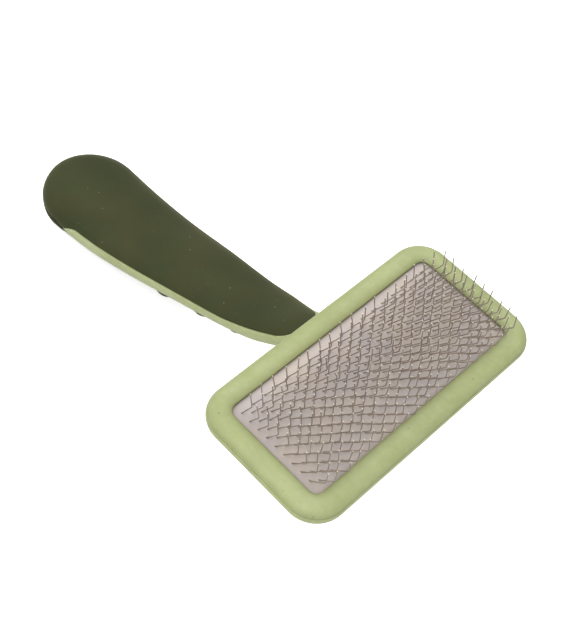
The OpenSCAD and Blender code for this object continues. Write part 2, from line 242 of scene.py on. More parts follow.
def rounded(half_x, half_y, radius, z, corner=20, side=10):
    """Closed outline of a rounded rectangle: corner steps to a corner, side steps to a side."""
    signs = [(1, 1), (-1, 1), (-1, -1), (1, -1)]
    reach_x, reach_y = half_x - radius, half_y - radius
    pts = []
    for quarter, (sx, sy) in enumerate(signs):
        for i in range(corner + 1):
            a = math.pi / 2 * (quarter + i / corner)
            pts.append((sx * reach_x + radius * math.cos(a),
                        sy * reach_y + radius * math.sin(a), z))
        start = pts[-1]
        nx, ny = signs[(quarter + 1) % 4]
        a = math.pi / 2 * (quarter + 1)
        end = (nx * reach_x + radius * math.cos(a), ny * reach_y + radius * math.sin(a))
        for i in range(1, side):
            t = i / side
            pts.append((start[0] + (end[0] - start[0]) * t,
                        start[1] + (end[1] - start[1]) * t, z))
    return np.array(pts)


# ---- materials -------------------------------------------------------------

class Shader:
    """A Principled material in object coordinates, with short ways to add nodes."""

    def __init__(self, name):
        self.mat = bpy.data.materials.new(name)
        self.mat.use_nodes = True
        self.tree = self.mat.node_tree
        self.tree.nodes.clear()
        output = self.node("ShaderNodeOutputMaterial")
        self.bsdf = self.node("ShaderNodeBsdfPrincipled")
        self.tree.links.new(self.bsdf.outputs[0], output.inputs[0])
        self.coord = self.node("ShaderNodeTexCoord").outputs["Object"]

    def node(self, kind, inputs=None, **settings):
        """Add a node. inputs maps sockets to values or links; None leaves one alone."""
        new = self.tree.nodes.new(kind)
        for key, value in settings.items():
            setattr(new, key, value)
        for key, value in (inputs or {}).items():
            if value is not None:
                self.put(new.inputs[key], value)
        return new

    def put(self, socket, value):
        if isinstance(value, bpy.types.NodeSocket):
            self.tree.links.new(value, socket)
        else:
            socket.default_value = value

    def set(self, **values):
        """Set the Principled node's inputs, with _ for each space in a name."""
        for key, value in values.items():
            self.put(self.bsdf.inputs[key.replace("_", " ")], value)

    def mapped(self, scale, rot=(0, 0, 0)):
        inputs = {"Scale": scale, "Rotation": rot, "Vector": self.coord}
        return self.node("ShaderNodeMapping", inputs).outputs[0]

    def noise(self, scale, detail, rough=0.5, vec=None, distort=0.0):
        inputs = {"Scale": scale, "Detail": detail, "Roughness": rough,
                  "Distortion": distort, "Vector": vec or self.coord}
        return self.node("ShaderNodeTexNoise", inputs).outputs["Fac"]

    def voronoi(self, scale, vec=None, feature="F1"):
        inputs = {"Scale": scale, "Vector": vec or self.coord}
        return self.node("ShaderNodeTexVoronoi", inputs, feature=feature).outputs["Distance"]

    def spots(self, scale, size, patch_scale, patch_above, vec=None):
        """1 on small spots, which show only in patches."""
        spot = self.math("LESS_THAN", self.voronoi(scale, vec), size)
        patches = self.noise(scale=patch_scale, detail=1)
        return self.math("MULTIPLY", spot, self.math("GREATER_THAN", patches, patch_above))

    def threads(self, scale, distort_x, distort_y):
        """Wave bands across X and across Y."""
        return [self.node("ShaderNodeTexWave",
                          {"Scale": scale, "Distortion": distort, "Vector": self.coord},
                          wave_type="BANDS", bands_direction=axis).outputs["Fac"]
                for axis, distort in (("X", distort_x), ("Y", distort_y))]

    def ramp(self, fac, stops):
        """stops: (position, value or colour)"""
        new = self.node("ShaderNodeValToRGB")
        elements = new.color_ramp.elements
        while len(elements) > 1:
            elements.remove(elements[-1])
        for i, (position, value) in enumerate(stops):
            stop = elements[0] if i == 0 else elements.new(position)
            stop.position = position
            stop.color = value if isinstance(value, tuple) else (value, value, value, 1)
        self.put(new.inputs[0], fac)
        return new.outputs[0]

    def fade(self, fac, start, end):
        """0 up to start, 1 from end."""
        return self.ramp(fac, [(start, 0.0), (end, 1.0)])

    def spread(self, noise, low, high):
        """Turn the middle range of a noise into values or colours from low to high."""
        return self.ramp(noise, [(0.3, low), (0.7, high)])

    def mix(self, fac, first, second):
        return self.node("ShaderNodeMix", {0: fac, 6: first, 7: second},
                         data_type="RGBA").outputs[2]

    def tint(self, under, mask, amount, colour):
        """Lay a share of a colour over another where the mask is 1."""
        return self.mix(self.math("MULTIPLY", mask, amount), under, colour)

    def math(self, operation, a, b=0.0, c=None):
        return self.node("ShaderNodeMath", {0: a, 1: b, 2: c}, operation=operation).outputs[0]

    def bump(self, height, strength, dist, normal=None):
        inputs = {"Strength": strength, "Distance": dist, "Height": height, "Normal": normal}
        return self.node("ShaderNodeBump", inputs).outputs[0]

    def hollow(self, reach, low, high):
        """1 in hollows and close under edges, 0 out in the open."""
        new = self.node("ShaderNodeAmbientOcclusion", {"Distance": reach}, samples=8)
        return self.ramp(new.outputs["AO"], [(low, 1.0), (high, 0.0)])

    def position(self):
        return self.node("ShaderNodeSeparateXYZ", {0: self.coord}).outputs

    def attribute(self, name):
        return self.node("ShaderNodeAttribute", attribute_name=name).outputs["Fac"]


def ring_shade_and_smears(n, col, place, opening):
    """Painted shade round the pad opening and on the ring's outer shoulder, and random smears.

    opening is the pad opening's half length, half width and corner radius, in metres.
    """
    radius = opening[2]
    squares = []
    for out, half in ((place[0], opening[0]), (place[1], opening[1])):
        past = n.math("SUBTRACT", n.math("ABSOLUTE", out), half - radius)
        past = n.math("MAXIMUM", past, 0.0)
        squares.append(n.math("MULTIPLY", past, past))
    away = n.math("SUBTRACT", n.math("SQRT", n.math("ADD", *squares)), radius)
    # painted shade at the lip and on the outer shoulder; the ramp's positions are centimetres out
    # from the opening
    painted_shade = n.ramp(n.math("MULTIPLY", away, 100.0),
                  [(0.0, 1.0), (0.09, 0.80), (0.20, 0.34), (0.36, 0.0), (0.60, 0.0), (0.84, 0.42)])
    col = n.tint(col, painted_shade, amount=0.36, colour=srgb(112, 116, 68))
    smear = n.fade(n.noise(scale=30, detail=3, rough=0.55, distort=0.4), start=0.54, end=0.74)
    return n.tint(col, smear, amount=0.26, colour=srgb(140, 154, 92))


def moulded_green(name="light_green_plastic", opening=None):
    """Satin moulded plastic: mottled, pitted and specked, with paler worn edges and painted shade
    in hollows.

    opening is given for the ring only, for the painted shade at its lip and shoulder.
    """
    n = Shader(name)
    base, pale, deep = srgb(165, 173, 122), srgb(175, 184, 135), srgb(154, 162, 109)
    cloud = n.ramp(n.noise(scale=38, detail=4, rough=0.55),
                   [(0.34, deep), (0.5, base), (0.68, pale)])
    fine = n.ramp(n.noise(scale=420, detail=4, rough=0.65),
                  [(0.32, srgb(154, 162, 112)), (0.52, base), (0.72, srgb(176, 185, 137))])
    fine_share = 0.40
    cloud = n.mix(fine_share, cloud, fine)
    yellow = n.fade(n.noise(scale=95, detail=2), start=0.45, end=0.75)
    col = n.tint(cloud, yellow, amount=0.22, colour=srgb(163, 169, 99))
    speck = n.spots(scale=330, size=0.13, patch_scale=140, patch_above=0.60)
    col = n.tint(col, speck, amount=0.38, colour=srgb(112, 118, 76))
    flake = n.spots(scale=460, size=0.10, patch_scale=90, patch_above=0.66)
    col = n.tint(col, flake, amount=0.5, colour=srgb(226, 229, 198))
    pointiness = n.node("ShaderNodeNewGeometry").outputs["Pointiness"]
    col = n.tint(col, n.fade(pointiness, start=0.50, end=0.56),
                 amount=0.25, colour=srgb(186, 193, 152))
    # painted shade in hollows and close under edges, strongest on the ring
    col = n.tint(col, n.hollow(reach=0.0045, low=0.42, high=0.98),
                 amount=0.85 if opening else 0.35, colour=srgb(96, 98, 56))
    place = n.position()
    # painted shade at the ring's lip and outer shoulder, and random smears
    if opening:
        col = ring_shade_and_smears(n, col, place, opening)
    # lengthwise streaks and nicks, only on the neck and handle
    handle_x = -0.036
    on_handle = n.math("MULTIPLY", n.math("LESS_THAN", place[0], handle_x), 1.0)
    streak = n.fade(n.noise(scale=900, detail=3, rough=0.7, vec=n.mapped(scale=(0.05, 1, 1))),
                    start=0.50, end=0.68)
    nick = n.fade(n.noise(scale=330, detail=2, rough=0.6, vec=n.mapped(scale=(0.5, 1, 1))),
                  start=0.68, end=0.72)
    col = n.tint(col, n.math("MULTIPLY", streak, on_handle),
                 amount=0.32, colour=srgb(206, 211, 176))
    col = n.tint(col, n.math("MULTIPLY", nick, on_handle),
                 amount=0.45, colour=srgb(219, 223, 192))
    rough = n.spread(n.noise(scale=210, detail=3, rough=0.6), low=0.40, high=0.54)
    grain = n.bump(n.noise(scale=2600, detail=3, rough=0.6), strength=0.16, dist=0.00006)
    wave = n.bump(n.noise(scale=60, detail=2), strength=0.10, dist=0.0006, normal=grain)
    pits = n.bump(n.math("MULTIPLY", speck, -1.0), strength=0.25, dist=0.00012, normal=wave)
    n.set(Base_Color=col, Roughness=rough, Normal=pits, Specular_IOR_Level=0.42,
          Subsurface_Weight=0.06, Subsurface_Scale=0.002, Subsurface_Radius=(1.0, 1.0, 0.5),
          Coat_Weight=0.06, Coat_Roughness=0.3)
    return n.mat


def soft_touch():
    """Matt dark rubber: a painted pale sheen at grazing angles, faint rub marks and lint."""
    n = Shader("dark_green_rubber")
    base, lift, deep = srgb(58, 61, 32), srgb(66, 68, 39), srgb(49, 56, 29)
    cloud = n.ramp(n.noise(scale=30, detail=4, rough=0.6),
                   [(0.33, deep), (0.5, base), (0.70, lift)])
    cool = n.fade(n.noise(scale=55, detail=2), start=0.5, end=0.8)
    col = n.tint(cloud, cool, amount=0.5, colour=srgb(53, 66, 38))
    lint = n.spots(scale=210, size=0.075, patch_scale=60, patch_above=0.53)
    hair = n.spots(scale=300, size=0.10, patch_scale=48, patch_above=0.60,
                   vec=n.mapped(scale=(1, 3.2, 1), rot=(0, 0, 0.6)))
    col = n.tint(col, n.math("MAXIMUM", lint, hair), amount=0.28, colour=srgb(140, 146, 116))
    # painted sheen: paler towards grazing angles
    facing_ratio = n.node("ShaderNodeLayerWeight", {"Blend": 0.35}).outputs["Facing"]
    col = n.tint(col, n.fade(facing_ratio, start=0.40, end=0.96),
                 amount=0.55, colour=srgb(116, 110, 72))
    rough = n.spread(n.noise(scale=120, detail=3, rough=0.6), low=0.56, high=0.70)
    grain = n.bump(n.noise(scale=3400, detail=3, rough=0.65), strength=0.22, dist=0.00007)
    dents = n.bump(n.noise(scale=75, detail=3), strength=0.10, dist=0.0005, normal=grain)
    n.set(Base_Color=col, Roughness=rough, Normal=dents, Specular_IOR_Level=0.20,
          Sheen_Weight=0.05, Sheen_Roughness=0.45, Sheen_Tint=srgb(190, 186, 150))
    return n.mat


def pad_rubber():
    """Lavender-grey rubber: a fine fabric print, faint stains, painted highlights round the wires
    and painted shade.
    """
    n = Shader("pad_rubber")
    base, warm, cool = srgb(194, 184, 179), srgb(198, 187, 176), srgb(188, 180, 180)
    cloud = n.ramp(n.noise(scale=85, detail=4, rough=0.6),
                   [(0.33, cool), (0.5, base), (0.68, warm)])
    stain = n.fade(n.noise(scale=42, detail=2, distort=0.6), start=0.52, end=0.72)
    col = n.tint(cloud, stain, amount=0.30, colour=srgb(197, 188, 169))
    # painted highlight on the raised rim round each wire
    col = n.tint(col, n.attribute("foot"), amount=0.16, colour=srgb(232, 224, 214))
    # painted shade in the dimple right round each wire
    col = n.tint(col, n.attribute("pit_shade"), amount=0.6, colour=srgb(104, 94, 88))
    # painted shade in hollows: under the ring's lip and among the wires
    col = n.tint(col, n.hollow(reach=0.006, low=0.40, high=0.97),
                 amount=0.55, colour=srgb(120, 108, 104))
    # painted shadow of the ring's lip: a darker strip along the -Y edge; ramp positions are
    # centimetres from y = -48.6 mm
    lip_shadow = n.ramp(n.math("MULTIPLY_ADD", n.position()[1], 100.0, 4.86),
                   [(0.0, 1.0), (0.22, 0.75), (0.62, 0.0)])
    col = n.tint(col, lip_shadow, amount=0.34, colour=srgb(142, 132, 128))
    weave = n.math("MULTIPLY", *n.threads(scale=620, distort_x=0.4, distort_y=0.4))
    col = n.tint(col, weave, amount=0.10, colour=srgb(219, 210, 203))
    fine = n.bump(weave, strength=0.20, dist=0.00006)
    grain = n.bump(n.noise(scale=1800, detail=3, rough=0.6),
                   strength=0.18, dist=0.00008, normal=fine)
    soft = n.bump(n.noise(scale=120, detail=2), strength=0.15, dist=0.0005, normal=grain)
    rough = n.spread(n.noise(scale=300, detail=2), low=0.62, high=0.78)
    n.set(Base_Color=col, Roughness=rough, Normal=soft, Specular_IOR_Level=0.30,
          Sheen_Weight=0.12, Sheen_Roughness=0.5, Subsurface_Weight=0.03, Subsurface_Scale=0.001)
    return n.mat


def drawn_wire():
    """Drawn and tempered steel wire: brown-grey, with fine lengthwise die lines."""
    n = Shader("pin_wire")
    dark, base, pale = srgb(148, 134, 121), srgb(165, 152, 140), srgb(182, 171, 158)
    col = n.ramp(n.noise(scale=260, detail=3, rough=0.6),
                 [(0.35, dark), (0.55, base), (0.75, pale)])
    rust = n.fade(n.noise(scale=120, detail=2), start=0.60, end=0.80)
    col = n.tint(col, rust, amount=0.35, colour=srgb(142, 116, 98))
    lines = n.noise(scale=1500, detail=2, vec=n.mapped(scale=(1, 1, 0.08)))
    n.set(Base_Color=col, Metallic=0.25, Roughness=n.spread(lines, low=0.36, high=0.54),
          Normal=n.bump(lines, strength=0.18, dist=0.00003))
    return n.mat


def cut_tip():
    """The wire's cut end, coloured pale cream."""
    n = Shader("pin_tip")
    col = n.spread(n.noise(scale=900, detail=2), low=srgb(226, 222, 196), high=srgb(240, 238, 220))
    n.set(Base_Color=col, Metallic=0.25, Specular_IOR_Level=0.8,
          Roughness=n.spread(n.noise(scale=1800, detail=2), low=0.30, high=0.46),
          Normal=n.bump(n.noise(scale=4000, detail=2), strength=0.15, dist=0.00002))
    return n.mat


def backing_weave():
    """Undyed plain-woven backing cloth."""
    n = Shader("backing_cloth")
    weave = n.math("MAXIMUM", *n.threads(scale=310, distort_x=0.5, distort_y=0.7))
    slub = n.noise(scale=700, detail=3, rough=0.6, vec=n.mapped(scale=(1, 0.2, 1)))
    gaps = srgb(172, 160, 134)
    yarn = n.spread(slub, low=srgb(206, 196, 172), high=srgb(224, 216, 196))
    fluff = n.bump(slub, strength=0.3, dist=0.0001)
    n.set(Base_Color=n.mix(weave, gaps, yarn), Roughness=0.92, Sheen_Weight=0.4,
          Normal=n.bump(weave, strength=0.6, dist=0.0002, normal=fluff))
    return n.mat


def open_foam():
    """Open-cell cushion foam."""
    n = Shader("cushion_foam")
    edge = n.voronoi(scale=900, feature="DISTANCE_TO_EDGE")
    wall = n.ramp(edge, [(0.03, 1.0), (0.16, 0.0)])
    body = n.spread(n.noise(scale=60, detail=3),
                    low=srgb(232, 227, 206), high=srgb(222, 214, 188))
    n.set(Base_Color=n.mix(wall, srgb(196, 188, 160), body), Roughness=0.95,
          Subsurface_Weight=0.15, Subsurface_Scale=0.002,
          Normal=n.bump(wall, strength=0.8, dist=0.0003))
    return n.mat


GREEN, DARK, PAD = moulded_green(), soft_touch(), pad_rubber()
STEEL, TIP, CLOTH, FOAM = drawn_wire(), cut_tip(), backing_weave(), open_foam()


# ---- handle sections -------------------------------------------------------
# A run is a distance from the head's centre along -X. Angles go round a section in
# degrees: 0 is the +Y side, 90 the face (+Z), 270 the back (-Z).

# run, height of the section's centre, half width, rise above the centre, drop below it
STATIONS = np.array([
    [15.5, 1.3, 9.5, 0.7, 0.7], [20, 2.2, 11, 1.4, 1.8], [25, 3.0, 12.4, 2.8, 4.2],
    [28, 2.4, 10.9, 3.0, 4.6], [30.5, 1.2, 10.3, 3.2, 5.0], [34, -1.8, 9.9, 4.7, 6.2],
    [38, -4.9, 10.4, 5.8, 6.9], [48, -10.5, 12.4, 6.0, 7.8], [62, -16.5, 13.7, 5.8, 8.6],
    [85, -24.3, 15.8, 6.5, 9.8], [112, -33.7, 17.9, 7.5, 11], [135, -39.8, 19.7, 8.6, 12],
    [157.2, -42.4, 20.8, 8.9, 12.9], [180, -43.2, 21.2, 9.0, 13.6]])
CENTRE, WIDTH, RISE, DROP = 1, 2, 3, 4

# run, degrees the face skin's edge stands above EDGE_UP: near the neck, then near the butt
FACE_NECK = np.array([
    [28, 64], [30, 60], [31.5, 53], [32.7, 41], [34, 27.5], [36, 17.5], [38, 12.3],
    [44, 10.3], [50, 7.8], [56, 4], [62, 0.3], [70, 0], [200, 0]], float)
FACE_END = np.array([
    [130, 0], [141, 0], [144.5, -0.6], [146.5, -4.5], [148.5, -11], [151.5, -20.5],
    [165, -20.5]], float)
# run, degrees the back skin's edge lies below the section's side, near the butt
BACK_END = np.array([
    [130, 27], [138, 27], [143, 25], [146, 19.5], [148.5, 13], [151.5, 5], [165, 5]], float)
EDGE_UP, EDGE_DOWN = 16.0, 27.0      # the skins' edges along most of the handle
END_TABLES = 130                     # run where the butt tables take over
BAND_END = 151.5                     # the green side bands stop here
PART_ANGLE, PART_GAP = 4.5, 0.22     # parting line of the skins past the bands, in degrees

SECTION_POWER = 0.91                 # below 1 squares the section up a little
BUTT_POWER = 0.7                     # below 1 keeps the butt's height fuller than its width

# shares of a quarter turn over the butt, closer together towards its end
BUTT_STEPS = 1 - (1 - np.linspace(0, 1, 26)[1:-1]) ** 1.35
BUTT_ROWS = [(BUTT_S + 0.01, over) for over in BUTT_STEPS]


def curve(table, column, run):
    """Smooth interpolation of a table's column at a run."""
    run = np.asarray(run, float)
    last = len(table) - 1
    slope = []
    for i in range(last + 1):
        after, before = table[min(last, i + 1)], table[max(0, i - 1)]
        slope.append((after[column] - before[column]) / (after[0] - before[0]))
    slope = np.array(slope)
    i = np.clip(np.searchsorted(table[:, 0], run, side="left") - 1, 0, last - 1)
    span = table[i + 1, 0] - table[i, 0]
    t = (run - table[i, 0]) / span
    t2, t3 = t * t, t * t * t
    return ((2 * t3 - 3 * t2 + 1) * table[i, column] + (t3 - 2 * t2 + t) * span * slope[i]
            + (3 * t2 - 2 * t3) * table[i + 1, column] + (t3 - t2) * span * slope[i + 1])


def handle_point(run, over, angle, inset=0.0):
    """Point of the handle's skin, inset, at an angle round the section; over > 0 is the butt."""
    run, over, angle, inset = np.broadcast_arrays(
        *[np.asarray(value, float) for value in (run, over, angle, inset)])
    turn = np.radians(angle)
    body_run = np.minimum(run, BUTT_S)
    on_butt = over > 0
    along = np.where(on_butt, BUTT_S + (BUTT_R - inset) * np.sin(np.pi / 2 * over), run)
    shrink = np.where(on_butt, np.cos(np.pi / 2 * np.minimum(over, 1)), 1.0)
    shrink_z = np.maximum(shrink, 0) ** BUTT_POWER
    width = (curve(STATIONS, WIDTH, body_run) - inset) * shrink
    rise = (curve(STATIONS, RISE, body_run) - inset) * shrink_z
    drop = (curve(STATIONS, DROP, body_run) - inset) * shrink_z
    across, up = np.cos(turn), np.sin(turn)
    y = width * signed_power(across, SECTION_POWER)
    z = curve(STATIONS, CENTRE, along) + np.where(up > 0, rise, drop) * signed_power(
        up, SECTION_POWER)
    return np.stack([-along, y, z], -1)


BUTT_POLE = (BUTT_S + 1, 1.0, 0)     # run, over and angle of the butt's last point


def face_edge(run):
    """Degrees above the section's side where the face skin stops."""
    if run <= 70:
        return EDGE_UP + float(curve(FACE_NECK, 1, run))
    if run < BAND_END:
        return EDGE_UP + (float(curve(FACE_END, 1, run)) if run > END_TABLES else 0.0)
    return -PART_ANGLE * (1 - float(ease(BAND_END, BUTT_S, run))) + PART_GAP


def back_edge(run):
    """Degrees below the section's side where the back skin stops."""
    if run < 58:
        return EDGE_DOWN + 53 * ((58 - run) / 14.0) ** 2
    if run < BAND_END:
        return float(curve(BACK_END, 1, run)) if run > END_TABLES else EDGE_DOWN
    return PART_ANGLE * (1 - float(ease(BAND_END, BUTT_S, run))) + PART_GAP


# ---- piece: shell, neck and handle core in one moulding --------------------

# height, inset from the head's outline, up the tray's outside; drawn for a rim at TRAY_RIM
TRAY_RIM = 11.0
TRAY_BOTTOM = [[0.0, 17.0]]
TRAY_SIDE = [
    [0.0, 15.5], [0.2, 13.5], [0.7, 11], [1.6, 8.3], [2.8, 5.9], [4.1, 4], [5.4, 2.5],
    [6.6, 1.4], [7.6, 0.7], [8.5, 0.28], [9.3, 0.06], [10, 0.0], [10.5, 0.1]]
TRAY_TOP = [[10.76, 0.18], [10.9, 0.28], [10.97, 0.4], [11.0, 0.55]]
# the same, down the inside from the rim
TRAY_INSIDE = [
    [RIM_Z, 2.4], [RIM_Z - 0.12, 2.58], [RIM_Z - 0.4, 2.63], [7.8, 2.65], [7.2, 3.4],
    [5.95, 4.95], [4.9, 6.1], [3.5, 8.1], [2.6, 9.6], [2.4, 10.6]]
TRAY_MIN_R = 3.5                     # least corner radius

BAND_POINTS, SKIN_POINTS = 15, 33    # points round the core on each band and under each skin
FACE_STEP, BACK_STEP = 28.98, 44.0   # runs where the core steps down to take the skins
BAND_ROUND = 0.28                    # rounding of the band's edges
NECK_END = 38                        # run where the flare at the tray stops
FLARE_R = 1.7
FLARE_SINK = 1.6                     # depth inside the tray where the flare has died away


def build_tray():
    outside = np.vstack([TRAY_BOTTOM, catmull(TRAY_SIDE, 4), TRAY_TOP])
    outside[:, 0] += (RIM_Z - TRAY_RIM) * (outside[:, 0] / TRAY_RIM)
    profile = np.vstack([outside, catmull(TRAY_INSIDE, 3)])
    rings = [rounded(HEAD_X - inset, HEAD_Y - inset, max(HEAD_R - inset, TRAY_MIN_R), z)
             for z, inset in profile]
    count = len(rings[0])
    faces = grid_faces(len(rings), count, wrap=True).tolist()
    faces.append(list(range(count))[::-1])
    faces.append([(len(rings) - 1) * count + j for j in range(count)])
    return make_object("head_shell_and_handle", np.vstack(rings), faces, [GREEN])


def core_section(run, over):
    """One ring of the core: +Y band, face, -Y band, back."""
    face = face_edge(max(run, 28.9))
    back = 80.0 if run < BACK_STEP else back_edge(run)
    side = -back + (face + back) * (0.5 - 0.5 * np.cos(np.linspace(0, np.pi, BAND_POINTS)))
    under_face, under_back = run > FACE_STEP, run > BACK_STEP
    if run > BAND_END:
        inset = CORE_INSET
    else:
        # round the band's edges where a skin meets it
        flush = handle_point(run, over, side)
        inset = np.zeros_like(side)
        for recessed, corner in ((under_face, flush[-1]), (under_back, flush[0])):
            if recessed:
                away = np.linalg.norm(flush - corner, axis=1)
                inset = np.maximum(inset, roll(away, BAND_ROUND))
    band = handle_point(run, over, side, inset)
    face_part = handle_point(run, over, np.linspace(face, 180 - face, SKIN_POINTS),
                             CORE_INSET if under_face else 0.0)
    back_part = handle_point(run, over, np.linspace(180 + back, 360 - back, SKIN_POINTS),
                             CORE_INSET if under_back else 0.0)
    return np.vstack([band, face_part, band[::-1] * [1, -1, 1], back_part])


def flare_neck(points, count, tray_tree):
    """Push the neck's points out near the tray, so that the two meet in a fillet."""
    for i, point in enumerate(points):
        if point[0] < -NECK_END:
            continue
        spot = Vector(point * MM)
        near, normal, _, metres = tray_tree.find_nearest(spot)
        dist = metres / MM
        if (spot - near).dot(normal) < 0:
            push = FLARE_R * max(0.0, 1 - dist / FLARE_SINK)
        elif dist < FLARE_R:
            push = float(roll(dist, FLARE_R))
        else:
            continue
        run = -point[0]
        if BAND_POINTS <= i % count < BAND_POINTS + SKIN_POINTS:
            push *= 0.0 if run > 28.9 else 0.5       # less on the face side
        above = point[2] - float(curve(STATIONS, CENTRE, run))
        push *= 1 - 0.85 * float(ease(-0.1, 0.75, above / 4.0))
        out = np.array([0.0, point[1], above * 1.6])
        length = np.linalg.norm(out)
        if length > 1e-6:
            points[i] = point + out / length * push


def build_core(tray_tree):
    # rows crowd together where the surface steps
    runs = np.concatenate([
        np.arange(15.5, 28.8, 0.8), [28.95], np.arange(29.0, 44.0, 0.75), [43.95],
        np.arange(44.05, 142.0, 1.3), np.arange(142.0, 151.4, 0.45),
        [151.45, 151.55, 151.9], np.arange(152.4, 157, 0.8), [BUTT_S]])
    rows = [(run, 0.0) for run in np.unique(np.round(runs, 3))] + BUTT_ROWS
    sections = [core_section(run, over) for run, over in rows]
    count = len(sections[0])
    points = np.vstack(sections)
    flare_neck(points, count, tray_tree)
    faces = grid_faces(len(rows), count, wrap=True).tolist()
    tip = len(points)
    points = np.vstack([points, [handle_point(*BUTT_POLE, CORE_INSET)]])
    faces.append(list(range(count))[::-1])
    last = (len(rows) - 1) * count
    faces += [[last + j, last + (j + 1) % count, tip] for j in range(count)]
    return make_object("handle_core", points, faces, [GREEN])


def build_ribs():
    """Six ribs along X inside the tray, under the foam."""
    top, low = FOAM_Z - 0.05, 2.1
    top_x, low_x, half = HEAD_X - 4.6, HEAD_X - 9.3, 0.6
    outline = [(-top_x, top), (top_x, top), (low_x, low), (-low_x, low)]
    bm = bmesh.new()
    for y in (-39, -26, -13, 13, 26, 39):
        near, far = [[bm.verts.new((x * MM, side * MM, z * MM)) for x, z in outline]
                     for side in (y - half, y + half)]
        bm.faces.new(near)
        bm.faces.new(far[::-1])
        for k in range(4):
            k2 = (k + 1) % 4
            bm.faces.new([near[k], far[k], far[k2], near[k2]])
    bmesh.ops.recalc_face_normals(bm, faces=bm.faces)
    mesh = bpy.data.meshes.new("ribs")
    bm.to_mesh(mesh)
    bm.free()
    obj = bpy.data.objects.new("ribs", mesh)
    bpy.context.scene.collection.objects.link(obj)
    return obj


def build_shell():
    shell = build_tray()
    tree = BVHTree.FromPolygons([v.co.copy() for v in shell.data.vertices],
                                [tuple(p.vertices) for p in shell.data.polygons])
    union(shell, build_core(tree))
    union(shell, build_ribs())
    finish_mesh(shell, [GREEN], smooth_angle=32)
    return shell


register(build_shell(), HEAD, "shell_and_handle")


# ---- piece: front ring -----------------------------------------------------

# distance out from the opening, height from LIP_Z: over the top, then back underneath
RING_TOP = np.array([
    [0.02, -0.62], [0.03, -0.42], [0.12, -0.2], [0.32, 0.0], [0.68, 0.18], [1.3, 0.36],
    [2.2, 0.52], [3.3, 0.61], [4.4, 0.56], [5.4, 0.38], [6.3, 0.09], [7.1, -0.30],
    [7.78, -0.74], [8.24, -1.20], [8.46, -1.62]])
RING_UNDER = np.array([
    [8.47, -1.80], [8.42, -1.90], [8.3, -1.95], [6.0, -1.95], [6.0, -4.85], [5.85, -5.0],
    [4.45, -5.0], [4.3, -4.85], [4.3, -0.95], [0.3, -0.95], [0.12, -0.86], [0.04, -0.75]])


def build_ring():
    lift = np.array([0, LIP_Z])
    profile = np.vstack([catmull(RING_TOP + lift, 4), RING_UNDER + lift])
    points = np.vstack([rounded(OPEN_X + out, OPEN_Y + out, OPEN_R + out, z, corner=24, side=24)
                        for out, z in profile])
    count = len(points) // len(profile)
    # the last row of quads joins the profile's end to its start
    faces = grid_faces(len(profile) + 1, count, wrap=True) % len(points)
    mat = moulded_green("light_green_ring", (OPEN_X * MM, OPEN_Y * MM, OPEN_R * MM))
    return make_object("front_ring", points, faces, [mat], smooth_angle=40)


register(build_ring(), HEAD, "bezel")


# ---- pieces: soft grip skins -----------------------------------------------

# raised bars across the back skin: run, half length, height
BARS = [(56.2, 2.5, 0.55), (73.8, 3.5, 0.85), (94.0, 4.2, 1.10)]
SKIN_STEPS = 64                      # steps across a skin
BAND_GAP = 0.35                      # degrees between a skin and the side band
SKIN_END_ROUND = 0.7                 # rounding of a skin's end at the neck


def bar_lift(run, away):
    """Rise of the bars, fading in from the skin's edges; away is degrees from the side."""
    lift = 0.0
    for bar, half, height in BARS:
        dist = abs(run - bar) / half
        if dist < 1:
            lift = max(lift, height * math.cos(math.pi / 2 * dist) ** 0.75)
    return ease(EDGE_DOWN, EDGE_DOWN + 8, away) * lift


def lip_lift(along, away):
    """The back skin's edge stands a little proud of the face skin past the side band."""
    height = 0.62 * float(ease(151.6, 152.6, along) * (1 - ease(157, 169, along)))
    return height * np.exp(-(away / 17.0) ** 2)


def skin_rows(start, bars):
    """(run, over) of a skin's rows, closer together at its start, its bars and the butt."""
    runs = [np.arange(start, start + 1.6, 0.16), np.arange(start + 1.6, 140.0, 0.9),
            np.arange(140.0, 157.0, 0.4), [BUTT_S]]
    if bars:
        for bar, half, _ in BARS:
            runs.append(np.arange(bar - half - 0.4, bar + half + 0.41, 0.28))
    runs = np.unique(np.round(np.concatenate(runs), 3))
    kept = [runs[0]]
    for run in runs[1:]:
        if run - kept[-1] > 0.12:
            kept.append(run)
    return [(run, 0.0) for run in kept] + BUTT_ROWS


def build_skin(name, start, side, edge, bars):
    """A skin over the half section from the angle side; edge(run) is its angle in from there."""
    rows = skin_rows(start, bars)
    eased = 0.5 - 0.5 * np.cos(np.linspace(0, np.pi, SKIN_STEPS + 1))
    share = 0.55 * eased + 0.45 * np.linspace(0, 1, SKIN_STEPS + 1)
    inner_inset = SKIN_T - PLAY
    outer, inner = [], []
    for run, over in rows:
        beside_band = run < BAND_END
        gap = BAND_GAP if beside_band else 0.0
        first = side + edge(run) + gap
        last = side + 180 - edge(run) - gap
        angle = first + (last - first) * share
        steps = np.linalg.norm(np.diff(handle_point(run, over, angle), axis=0), axis=1)
        arc = np.concatenate([[0], np.cumsum(steps)])
        from_side = np.minimum(arc, arc[-1] - arc)
        from_start = run - start if over == 0 else 99.0
        drop = roll(from_side, 0.42 if beside_band else 0.30)
        drop = np.maximum(drop, roll(from_start, SKIN_END_ROUND))
        if bars:
            along = run if over == 0 else BUTT_S + BUTT_R * math.sin(math.pi / 2 * over)
            away = np.minimum(angle - 180, 360 - angle)
            drop = drop - (bar_lift(run, away) + lip_lift(along, away))
        outer.append(handle_point(run, over, angle, drop))
        inner.append(handle_point(run, over, angle, inner_inset))
    points = np.vstack(outer + inner)
    tip_out, tip_in = len(points), len(points) + 1
    points = np.vstack([points, [handle_point(*BUTT_POLE, 0.0),
                                 handle_point(*BUTT_POLE, inner_inset)]])
    return make_object(name, points, skin_faces(len(rows), tip_out, tip_in), [DARK],
                       smooth_angle=50)


